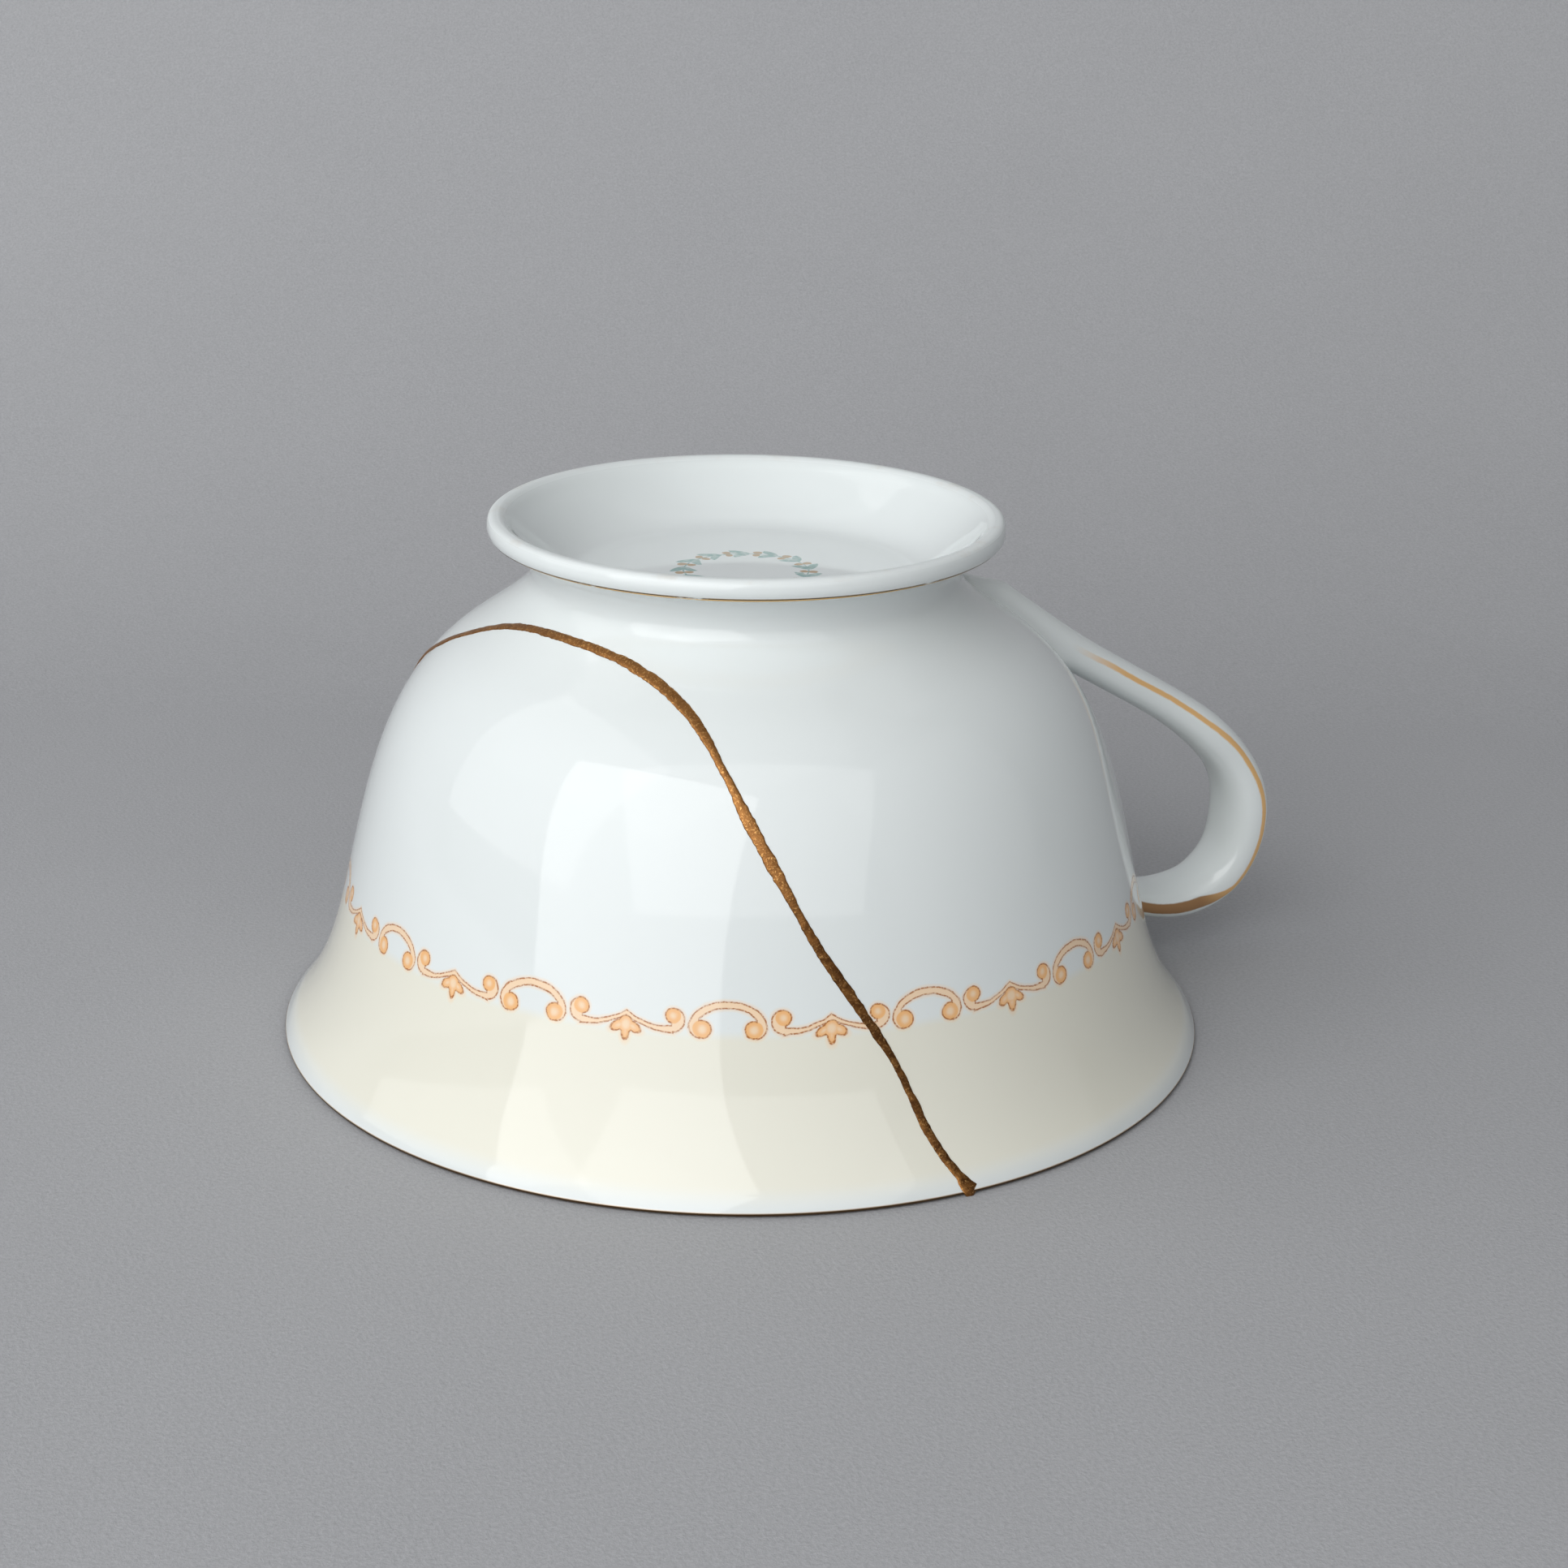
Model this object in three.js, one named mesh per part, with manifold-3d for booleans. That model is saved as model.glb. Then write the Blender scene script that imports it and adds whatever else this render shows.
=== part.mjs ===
// A porcelain teacup, upside down on its rim with its foot ring up. One piece of its wall broke out and is
// joined back by a seam of lacquer and gold powder. Millimetres, +Z up. The handle points along +X.
// The origin is the middle of the box that the whole part fills, at the height of the rim.

import * as THREE from "three";
import { mergeVertices } from "three/addons/utils/BufferGeometryUtils.js";
import Module from "manifold-3d";

const wasm = await Module();
wasm.setup();

// The outside of the bowl. Heights are measured up from the rim, and a lean is in degrees from upright,
// inwards as it goes up. A pull is how far a curve keeps the lean of the place that it leaves.
const rimRadius = 50;
const rimLean = 43;
const rimPull = 7.2;
const waistRadius = 42.2;
const waistHeight = 19.8;
const waistLean = 13;
const waistPullToRim = 7.1;
const waistPullToShoulder = 9.7;
const shoulderRadius = 31.3;
const shoulderHeight = 42.8;
const shoulderLean = 51;
const shoulderPullToWaist = 8.5;
const shoulderPullToNeck = 3.6;

// The foot ring: a neck that flares out again to a rounded lip with a narrow ground top.
// The neck and the lip's widest place are measured down from that top.
const neckRadius = 22.7;
const neckDrop = 6.1;
const neckPullToShoulder = 2.2;
const neckPullToLip = 5;
const lipRadius = 27.2;
const lipDrop = 1.2;
const lipPull = 2.3;
const footHeight = 56.5;
const neckHeight = footHeight - neckDrop;
const lipHeight = footHeight - lipDrop;
const lipLandRadius = 26.1;
const lipLandWidth = 0.6;
const lipInnerRadius = 25.2;
const lipInnerDrop = 0.5;

// The hollow inside the foot ring
const recessRadius = 17.2;
const recessDepth = 6.3;
const recessPull = 2.4;
const recessWallLean = 135;
const recessWallPull = 4;

// The wall, the rim that the cup rests on, and the bottom of the hollow. The wall thickens from the rim's
// thickness to its own over the first share of the way up.
const wall = 2.4;
const rimWall = 1.8;
const rimLandWidth = 0.7;
const rimRound = 0.45;
const thickeningShare = 0.33;
const bottomThickness = 4;
const bottomPull = 12;
const cornerPull = 7.5;

// The handle's middle line: where it meets the wall at both ends, and its outermost point
const rootHeight = 45.6;
const rootSink = 0.7;
const rootLean = 48.6;
const rootPull = 16.8;
const handleReach = 61.8;
const handleOutHeight = 16.3;
const handleUpperPull = 12.8;
const handleLowerPull = 11;
const endHeight = 10;
const endSink = 2.4;
const endLean = 55;
const endPull = 9.5;

// The handle's section where it is thickest, in the handle's own plane and across it, and the shares of both
// that it has at even steps from root to end
const handleThickness = 5.4;
const handleWidth = 9;
const handleTaper = [
  { thickness: 0.48, width: 0.47 },
  { thickness: 0.7, width: 0.61 },
  { thickness: 0.76, width: 0.66 },
  { thickness: 0.89, width: 0.82 },
  { thickness: 1, width: 1 },
  { thickness: 0.94, width: 0.93 },
  { thickness: 0.87, width: 0.88 },
  { thickness: 0.7, width: 0.93 },
  { thickness: 0.74, width: 1.02 },
];
const sectionSquareness = 2.3;

// The crack and the seam that fills it. The crack is cut deep enough for the thicker wall at the bottom.
const crackWidth = 1.5;
const crackDepth = wall + bottomThickness;
const seamClearance = 0.3;
const seamProud = 0.2;
const seamLift = 0.3;
const crackOverrun = 1.6;

// The crack's path over the outside: degrees round the axis from the handle, and share of the shoulder's
// height
const crackPath = [
  [-84.5, 0],
  [-85.8, 0.071],
  [-88.7, 0.204],
  [-91.6, 0.309],
  [-96.0, 0.436],
  [-101.2, 0.575],
  [-106.0, 0.717],
  [-109.8, 0.82],
  [-113.4, 0.909],
  [-118.0, 0.99],
  [-125.0, 1.048],
  [-135.5, 1.088],
  [-149.0, 1.108],
  [-166.1, 1.107],
  [-179.9, 1.086],
  [-191.0, 1.04],
  [-199.7, 0.981],
  [-207.3, 0.91],
  [-214.5, 0.801],
  [-219.0, 0.671],
  [-224.5, 0.518],
  [-228.5, 0.365],
  [-234.5, 0.212],
  [-237.0, 0.094],
  [-240.0, 0],
];

// How finely the curves are cut into flat steps
const turnSteps = 56;
const flareSteps = 6;
const bellySteps = 7;
const coneSteps = 4;
const neckSteps = 5;
const roundSteps = 2;
const recessSteps = 4;
const bottomSteps = 5;
const handleSteps = 28;
const sectionSides = 12;
const crackSteps = 50;

// A point of a profile: distance from the axis, and height
function point(radius, height) {
  return new THREE.Vector2(radius, height);
}

// A step of the given length that climbs while it leans towards the axis
function climb(lean, length) {
  const angle = THREE.MathUtils.degToRad(lean);
  return new THREE.Vector2(-Math.sin(angle) * length, Math.cos(angle) * length);
}

function curve(from, leave, arrive, to, steps) {
  const shape = new THREE.CubicBezierCurve(from, from.clone().add(leave), to.clone().sub(arrive), to);
  return shape.getPoints(steps);
}

// A corner between two points, rounded off
function rounded(from, corner, to) {
  return new THREE.QuadraticBezierCurve(from, corner, to).getPoints(roundSteps);
}

// The outside from the rim's edge up to the neck
function bowlOutside() {
  const edge = point(rimRadius, rimRound);
  const waist = point(waistRadius, waistHeight);
  const shoulder = point(shoulderRadius, shoulderHeight);
  const neck = point(neckRadius, neckHeight);
  const leaveWaist = climb(waistLean, waistPullToShoulder);
  const reachShoulder = climb(shoulderLean, shoulderPullToWaist);
  const leaveShoulder = climb(shoulderLean, shoulderPullToNeck);
  return {
    flare: curve(edge, climb(rimLean, rimPull), climb(waistLean, waistPullToRim), waist, flareSteps),
    belly: curve(waist, leaveWaist, reachShoulder, shoulder, bellySteps),
    cone: curve(shoulder, leaveShoulder, climb(0, neckPullToShoulder), neck, coneSteps),
  };
}

// The foot ring from the neck over the lip and down into the hollow, as far as the axis
function footProfile() {
  const neck = point(neckRadius, neckHeight);
  const lip = point(lipRadius, lipHeight);
  const landOuter = point(lipLandRadius + lipLandWidth / 2, footHeight);
  const landInner = point(lipLandRadius - lipLandWidth / 2, footHeight);
  const inner = point(lipInnerRadius, footHeight - lipInnerDrop);
  const floorHeight = footHeight - recessDepth;
  const floorEdge = point(recessRadius, floorHeight);
  const flare = curve(neck, climb(0, neckPullToLip), climb(0, lipPull), lip, neckSteps);
  const edge = rounded(lip, point(lipRadius, footHeight), landOuter);
  const recessWall = climb(recessWallLean, recessWallPull);
  const recess = curve(inner, recessWall, point(-recessPull, 0), floorEdge, recessSteps);
  return [...flare, ...edge.slice(1), landInner, ...recess, point(0, floorHeight)];
}

// A profile moved sideways by its own distance at each point, to the left of its direction when positive
function offset(points, distanceAt) {
  return points.map((p, i) => {
    const before = points[Math.max(i - 1, 0)];
    const after = points[Math.min(i + 1, points.length - 1)];
    const along = after.clone().sub(before).normalize();
    const left = new THREE.Vector2(-along.y, along.x);
    return p.clone().addScaledVector(left, distanceAt(i / (points.length - 1)));
  });
}

// The part of a rising profile that lies above a height
function above(points, height) {
  const i = points.findIndex((p) => p.y > height);
  const share = (height - points[i - 1].y) / (points[i].y - points[i - 1].y);
  return [points[i - 1].clone().lerp(points[i], share), ...points.slice(i)];
}

// The inside from the rim's inner edge up to the axis. Extra is taken off the wall and the bottom.
function bowlInside(extra) {
  const { flare, belly } = bowlOutside();
  const outside = [...flare, ...belly.slice(1)];
  const wallAt = (share) => {
    return THREE.MathUtils.lerp(rimWall, wall, Math.min(1, share / thickeningShare)) - extra;
  };
  const inside = above(offset(outside, wallAt), rimRound);
  const corner = inside[inside.length - 1];
  const bottom = point(0, footHeight - recessDepth - bottomThickness + extra);
  const floor = curve(corner, climb(shoulderLean, cornerPull), point(-bottomPull, 0), bottom, bottomSteps);
  return [...inside, ...floor.slice(1)];
}

// The rim from its inner edge over the flat ring that rests on the table to its outer edge
function rimProfile(inner) {
  const middle = (rimRadius + inner.x) / 2;
  const landInner = point(middle - rimLandWidth / 2, 0);
  const landOuter = point(middle + rimLandWidth / 2, 0);
  const edge = rounded(landOuter, point(rimRadius, 0), point(rimRadius, rimRound));
  return [landInner, ...edge.slice(0, -1)];
}

function outsideLine() {
  const { flare, belly, cone } = bowlOutside();
  return [...flare, ...belly.slice(1), ...cone.slice(1)];
}

// The outside's radius, and the way straight out of it, at a height between the rim and the neck
function outsideAt(height) {
  const line = outsideLine();
  const clamped = THREE.MathUtils.clamp(height, line[0].y, neckHeight);
  const i = Math.max(1, line.findIndex((p) => p.y >= clamped));
  const low = line[i - 1];
  const high = line[i];
  const share = (clamped - low.y) / (high.y - low.y);
  const along = high.clone().sub(low).normalize();
  return {
    radius: THREE.MathUtils.lerp(low.x, high.x, share),
    outward: new THREE.Vector2(along.y, -along.x),
  };
}

// A closed solid from a geometry, with shared corners merged and no flat triangles
function solidOf(geometry) {
  const bare = geometry.clone();
  bare.deleteAttribute("normal");
  bare.deleteAttribute("uv");
  const merged = mergeVertices(bare, 1e-4);
  const corners = Array.from(merged.index.array);
  const triangles = [];
  for (let i = 0; i < corners.length; i += 3) {
    const [a, b, c] = corners.slice(i, i + 3);
    if (a !== b && b !== c && c !== a) triangles.push(a, b, c);
  }
  const make = (indices) =>
    new wasm.Manifold(
      new wasm.Mesh({
        numProp: 3,
        vertProperties: new Float32Array(merged.attributes.position.array),
        triVerts: new Uint32Array(indices),
      }),
    );
  const solid = make(triangles);
  return solid.volume() > 0 ? solid : make(triangles.reverse());
}

// A solid of revolution about the Z axis from a profile of radius and height
function turned(profile) {
  const lathe = new THREE.LatheGeometry(profile, turnSteps);
  lathe.rotateX(Math.PI / 2);
  return solidOf(lathe);
}

// A closed skin over rings of points that all have the same number of corners
function skinned(rings) {
  const sides = rings[0].length;
  const positions = rings.flat().flatMap((p) => [p.x, p.y, p.z]);
  const indices = [];
  for (let i = 0; i + 1 < rings.length; i++) {
    for (let k = 0; k < sides; k++) {
      const a = i * sides + k;
      const b = i * sides + ((k + 1) % sides);
      indices.push(a, b, b + sides, a, b + sides, a + sides);
    }
  }
  const last = (rings.length - 1) * sides;
  for (let k = 1; k + 1 < sides; k++) {
    indices.push(0, k + 1, k);
    indices.push(last, last + k, last + k + 1);
  }
  const skin = new THREE.BufferGeometry();
  skin.setAttribute("position", new THREE.Float32BufferAttribute(positions, 3));
  skin.setIndex(indices);
  return solidOf(skin);
}

// The whole cup before it broke, without its handle
function cupSolid() {
  const inside = bowlInside(0);
  const foot = footProfile();
  return turned([...inside.toReversed(), ...rimProfile(inside[0]), ...outsideLine(), ...foot.slice(1)]);
}

// What the cup holds, open at the rim, to trim whatever comes through the wall
function hollowSolid() {
  const inside = bowlInside(0);
  const mouth = point(inside[0].x, -crackOverrun);
  return turned([point(0, -crackOverrun), mouth, ...inside]);
}

// The shell that the seam fills: the bowl's wall, made thicker on both sides by what the seam stands proud
function seamShell() {
  const outside = offset(outsideLine(), () => -seamProud);
  const inside = bowlInside(-seamProud);
  const inner = inside[0];
  const outer = outside[0];
  const top = point(0, neckHeight);
  const lower = [point(inner.x, seamLift), point(outer.x, seamLift)];
  return turned([...inside.toReversed(), ...lower, ...outside, top]);
}

// The handle's middle line in two curves, from its root to its outermost point and from there to its end
function handleLine() {
  const root = outsideAt(rootHeight);
  const end = outsideAt(endHeight);
  const at = (place, height, sink) =>
    new THREE.Vector2(place.radius, height).addScaledVector(place.outward, -sink);
  const start = at(root, rootHeight, rootSink);
  const out = point(handleReach, handleOutHeight);
  const finish = at(end, endHeight, endSink);
  const upper = new THREE.CubicBezierCurve(
    start,
    start.clone().sub(climb(rootLean, rootPull)),
    point(out.x, out.y + handleUpperPull),
    out,
  );
  const lower = new THREE.CubicBezierCurve(
    out,
    point(out.x, out.y - handleLowerPull),
    finish.clone().sub(climb(endLean, endPull)),
    finish,
  );
  return [upper, lower];
}

// A strap swept along the middle line in the plane of the handle, with rounded edges
function handleSolid() {
  const rings = [];
  const half = handleSteps / 2;
  for (const [index, line] of handleLine().entries()) {
    for (let i = index; i <= half; i++) {
      const share = (index + i / half) / 2;
      const middle = line.getPoint(i / half);
      const along = line.getTangent(i / half);
      const place = share * (handleTaper.length - 1);
      const before = handleTaper[Math.floor(place)];
      const after = handleTaper[Math.ceil(place)];
      const blend = THREE.MathUtils.smoothstep(place - Math.floor(place), 0, 1);
      const thickness = handleThickness * THREE.MathUtils.lerp(before.thickness, after.thickness, blend);
      const width = handleWidth * THREE.MathUtils.lerp(before.width, after.width, blend);
      const ring = [];
      for (let k = 0; k < sectionSides; k++) {
        const angle = (2 * Math.PI * k) / sectionSides;
        const round = (v) => Math.sign(v) * Math.abs(v) ** (2 / sectionSquareness);
        const out = (thickness / 2) * round(Math.cos(angle));
        const side = (width / 2) * round(Math.sin(angle));
        ring.push(new THREE.Vector3(middle.x - along.y * out, side, middle.y + along.x * out));
      }
      rings.push(ring);
    }
  }
  return skinned(rings);
}

// The crack's path as a smooth curve of degrees and height
function crackLine() {
  const stops = crackPath.map(([angle, share]) => new THREE.Vector3(angle, share * shoulderHeight, 0));
  return new THREE.CatmullRomCurve3(stops, false, "centripetal");
}

// A wall that follows the crack and cuts square through the bowl, as wide as asked
function crackSolid(width) {
  const line = crackLine();
  const places = [];
  for (let i = 0; i <= crackSteps; i++) {
    const { x: angle, y: height } = line.getPoint(i / crackSteps);
    const { radius, outward } = outsideAt(height);
    const turn = THREE.MathUtils.degToRad(angle);
    const spoke = new THREE.Vector3(Math.cos(turn), Math.sin(turn), 0);
    const normal = spoke.clone().multiplyScalar(outward.x).setZ(outward.y);
    places.push({ on: spoke.multiplyScalar(radius).setZ(height), normal });
  }
  const down = new THREE.Vector3(0, 0, -crackOverrun);
  const first = places[0];
  const last = places[places.length - 1];
  places.unshift({ on: first.on.clone().add(down), normal: first.normal });
  places.push({ on: last.on.clone().add(down), normal: last.normal });
  const rings = places.map(({ on, normal }, i) => {
    const before = places[Math.max(i - 1, 0)].on;
    const after = places[Math.min(i + 1, places.length - 1)].on;
    const side = after.clone().sub(before).cross(normal).setLength(width / 2);
    const outer = on.clone().addScaledVector(normal, crackOverrun);
    const inner = on.clone().addScaledVector(normal, -crackDepth);
    return [
      outer.clone().add(side),
      outer.clone().sub(side),
      inner.clone().sub(side),
      inner.clone().add(side),
    ];
  });
  return skinned(rings);
}

// A mesh in the scene from a finished solid
function meshOf(name, solid, look) {
  const { vertProperties, triVerts } = solid.getMesh();
  const geometry = new THREE.BufferGeometry();
  geometry.setAttribute("position", new THREE.Float32BufferAttribute(vertProperties, 3));
  geometry.setIndex(Array.from(triVerts));
  const flat = geometry.toNonIndexed();
  flat.computeVertexNormals();
  const mesh = new THREE.Mesh(flat, new THREE.MeshStandardMaterial(look));
  mesh.name = name;
  return mesh;
}

const porcelain = { color: 0xe9eeee, roughness: 0.12, metalness: 0 };
const gold = { color: 0x8a6238, roughness: 0.5, metalness: 0.8 };

const whole = cupSolid().add(handleSolid().subtract(hollowSolid()));
const broken = whole
  .subtract(crackSolid(crackWidth))
  .decompose()
  .sort((a, b) => b.volume() - a.volume());
const seam = crackSolid(crackWidth - 2 * seamClearance).intersect(seamShell());

const cup = new THREE.Group();
cup.add(meshOf("cup_body", broken[0], porcelain));
cup.add(meshOf("rejoined_shard", broken[1], porcelain));
cup.add(meshOf("gold_seam", seam, gold));

const box = new THREE.Box3().setFromObject(cup);
const middle = box.getCenter(new THREE.Vector3());
cup.position.set(-middle.x, -middle.y, -box.min.z);

export default cup;
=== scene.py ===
import math

import bpy
from mathutils import Matrix, Vector, noise
from mathutils.geometry import interpolate_bezier


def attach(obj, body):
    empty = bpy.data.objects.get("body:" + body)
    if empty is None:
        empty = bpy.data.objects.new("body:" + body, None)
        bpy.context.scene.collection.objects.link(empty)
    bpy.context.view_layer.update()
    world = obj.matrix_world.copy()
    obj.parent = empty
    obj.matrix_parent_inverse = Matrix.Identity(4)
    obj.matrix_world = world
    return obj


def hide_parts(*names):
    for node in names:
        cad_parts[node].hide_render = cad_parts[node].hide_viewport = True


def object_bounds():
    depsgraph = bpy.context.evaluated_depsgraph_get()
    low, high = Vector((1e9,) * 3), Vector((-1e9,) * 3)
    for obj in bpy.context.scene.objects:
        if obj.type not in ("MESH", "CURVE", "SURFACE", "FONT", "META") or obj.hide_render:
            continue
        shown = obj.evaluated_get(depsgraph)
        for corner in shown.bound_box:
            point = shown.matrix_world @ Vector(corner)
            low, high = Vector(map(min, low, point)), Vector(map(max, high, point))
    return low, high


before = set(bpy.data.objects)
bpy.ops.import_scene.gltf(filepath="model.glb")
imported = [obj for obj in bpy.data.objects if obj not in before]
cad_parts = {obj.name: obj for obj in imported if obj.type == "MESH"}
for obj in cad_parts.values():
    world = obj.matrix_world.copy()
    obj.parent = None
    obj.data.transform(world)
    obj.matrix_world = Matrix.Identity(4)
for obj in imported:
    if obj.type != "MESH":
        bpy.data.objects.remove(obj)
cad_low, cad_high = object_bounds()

# Lengths are in millimetres and become metres where they meet Blender. The cup stands upside down on its rim,
# turned about an upright axis; a turn is in degrees round that axis from the handle, which points along +X.
MM = 0.001
RIM_RADIUS = (cad_high.y - cad_low.y) / 2 / MM
AXIS_X = cad_low.x / MM + RIM_RADIUS
FOOT_HEIGHT = cad_high.z / MM

# Half profile of the bowl, as (radius, height). A lean is in degrees from upright, inwards going up.
RIM_ROUND = 0.45
RIM_LEAN = 43
WAIST = (42.2, 19.8)
WAIST_LEAN = 13
SHOULDER = (31.3, 42.8)
SHOULDER_LEAN = 51
NECK = (22.7, FOOT_HEIGHT - 6.1)
LIP = (27.2, FOOT_HEIGHT - 1.2)
LIP_LAND = (26.0, 26.3)
LIP_INNER = (24.5, FOOT_HEIGHT - 1.2)
RECESS_FLOOR = (17.2, FOOT_HEIGHT - 6.3)
RIM_LAND = (48.46, 49.16)
RIM_WALL = 1.8
WALL = 2.4
BOTTOM_HEIGHT = FOOT_HEIGHT - 10.3
TURN_STEPS = 256
PROFILE_STEPS = 12

# Handle: middle line from the root on the shoulder to the lower end, and its tapering section. Pulls say how
# far the line keeps its way at a place. The root swells outwards over the given shares of the strap's length.
ROOT_HEIGHT = 47.6
ROOT_SINK = 0.7
ROOT_LEAN = 49.5
ROOT_SWELL = 1.9
ROOT_PULL = 19.5
SWELL_START = 0.055
SWELL_FADE = 0.13
HANDLE_OUT = (61.8, 16.3)
OUT_PULL_UP = 12.8
OUT_PULL_DOWN = 11
END_HEIGHT = 10
END_SINK = 1.6
END_LEAN = 55
END_PULL = 9.5
LINE_STEPS = 200
HANDLE_THICKNESS = 5.4
HANDLE_WIDTH = 9
HANDLE_TAPER = [(0.48, 0.47), (0.7, 0.61), (0.76, 0.66), (0.89, 0.82), (1, 1), (0.94, 0.93), (0.87, 0.88),
                (0.68, 0.93), (0.66, 1.0)]
HANDLE_SQUARENESS = 2.3
STRAP_SIDES = 32
STRAP_STEPS = 48
# What is added to the share along the strap that the material reads, so that only the bowl reads 0
STRAP_MARK = 0.05
# How near the wall the strap starts to widen, and the sine of the angle that its side has turned at the wall
FILLET = 1.5
FLARE = 0.86

# The crack: turns in degrees and shares of the shoulder's height
CRACK_PATH = [
    (-83.9, 0), (-85.9, 0.062), (-87.8, 0.13), (-89.2, 0.204), (-91.7, 0.309), (-96.1, 0.436), (-101.3, 0.575),
    (-106, 0.717), (-109.8, 0.82), (-113.4, 0.909), (-118, 0.99), (-125, 1.048), (-135.5, 1.088),
    (-149, 1.108), (-166.1, 1.107), (-179.9, 1.086), (-191, 1.04), (-199.7, 0.981), (-207.3, 0.91),
    (-214.5, 0.801), (-219, 0.671), (-224.5, 0.518), (-228.5, 0.365), (-234.5, 0.212), (-237, 0.094),
    (-240, 0),
]
CRACK_GAP = 0.24
BLADE_STEPS = 160
BLADE_REACH = 1.5
BLADE_DEPTH = 4
# Width of the gold line at some distances along it, in millimetres from where it leaves the rim in front
SEAM_WIDTHS = [
    (0, 1.75), (0.9, 1.5), (2.2, 0.85), (7, 0.86), (11, 0.7), (15, 0.68), (17.5, 0.85), (24, 0.9),
    (27, 0.88), (31.5, 0.74), (36, 1.1), (40, 1.08), (45.5, 0.7), (50, 0.95), (53.5, 1.15), (58, 1.05),
    (63, 0.88), (70, 0.82), (90, 0.74), (200, 0.74),
]
SEAM_STEPS = 900
SEAM_PROUD = 0.17
# Half of the width, and a little more, because the bead's edges lie so low that they hardly show
SEAM_SPREAD = 0.56
# How far the seam's two sides stray, as shares of its width, in long and in short waves, and its middle
STRAY_LONG = 0.2
STRAY_SHORT = 0.13
STRAY_MIDDLE = 0.06
BEAD_SIDES = 12
BEAD_SINK = 0.03
WEB_SHARE = 0.45
WEB_INSET = 0.1
INNER_SIDES = 6
INNER_SHARE = 0.9
INNER_PROUD = 0.12
INNER_SINK = 0.02
BOX_GAP = 0.02

# Camera of the photograph, seen from the cup's axis at the height of the rim
PHOTO_TURN = -21
CAMERA_DISTANCE = 301
CAMERA_HEIGHT = 132.61
CAMERA_PITCH = 19.452
CAMERA_YAW = 0.827
CAMERA_ROLL = 0.917
LENS = 67.723

# Paper, in metres: how wide and how high it is, where it stands up behind the cup, and the size of its bend
FLOOR_SIZE = 3
FLOOR_RISE = 1.6
FOLD_PLACE = 0.36
FOLD_ROUND = 0.26
# Room: how much light it gives, and how much brighter it looks from the camera past the paper's edge
ROOM_LIGHT = 0.04
ROOM_SEEN = 0.115

# Decoration: the cream band's soft edges, the border's base height, the turn where it starts, its first swag,
# one step of it in degrees and where it has gone round; the wreath; the foot's gilt line
CREAM_FOOT = (0.5, 2.7)
CREAM_TOP = (15.2, 16.5)
BORDER_HEIGHT = 15.6
BORDER_START = -11.4
SWAG_PLACE = 8.15
BORDER_STEP = 26.6
BORDER_END = (345.9, 346.1)
WREATH_RADIUS = 6.6
WREATH_LEAVES = 13
FOOT_LINE = (FOOT_HEIGHT - 2.45, FOOT_HEIGHT - 1.86)
FOOT_GROUND = 0.35
# Heights in millimetres over which the gold seam is painted lighter, as a painted highlight
PAINTED_SHEEN_HEIGHTS = (22, 34)


def climb(lean, length):
    """A step of the given length that climbs while it leans towards the axis."""
    angle = math.radians(lean)
    return Vector((-math.sin(angle), math.cos(angle))) * length


def place(radius, height, turn=0.0):
    """Where a point of the cup is in the scene, in metres."""
    angle = math.radians(turn)
    return Vector((AXIS_X + radius * math.cos(angle), radius * math.sin(angle), height)) * MM


def deselect():
    if bpy.context.object and bpy.context.object.mode != "OBJECT":
        bpy.ops.object.mode_set(mode="OBJECT")
    bpy.ops.object.select_all(action="DESELECT")


def pick(piece):
    deselect()
    piece.select_set(True)
    bpy.context.view_layer.objects.active = piece


def apply(piece, kind, **settings):
    """Adds a modifier, sets it up and applies it."""
    pick(piece)
    modifier = piece.modifiers.new(kind.title(), kind)
    for name, value in settings.items():
        setattr(modifier, name, value)
    bpy.ops.object.modifier_apply(modifier=modifier.name)


def remove(piece):
    bpy.data.objects.remove(piece, do_unlink=True)


# Shapes

class Knot:
    """A place on a drawn line with the pull of the line before and after it."""

    def __init__(self, co, arrive=(0, 0), leave=(0, 0)):
        self.co, self.arrive, self.leave = Vector(co), Vector(arrive), Vector(leave)


def outside_knots():
    """The outside of the bowl from the rim's edge up to the foot's lip."""
    return [
        Knot((RIM_RADIUS, RIM_ROUND), leave=climb(RIM_LEAN, 7.2)),
        Knot(WAIST, climb(WAIST_LEAN, 7.1), climb(WAIST_LEAN, 9.7)),
        Knot(SHOULDER, climb(SHOULDER_LEAN, 8.5), climb(SHOULDER_LEAN, 3.6)),
        Knot(NECK, climb(0, 2.2), climb(0, 5)),
        Knot(LIP, climb(0, 2.3)),
    ]


def bend(a, b, corner):
    """Rounds the corner between two knots."""
    a.leave = (corner - a.co) * 2 / 3
    b.arrive = (b.co - corner) * 2 / 3


def inward(knot, lean, wall):
    """The place inside the wall, square behind a place on its outside."""
    angle = math.radians(lean)
    return knot - Vector((math.cos(angle), math.sin(angle))) * wall


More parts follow.
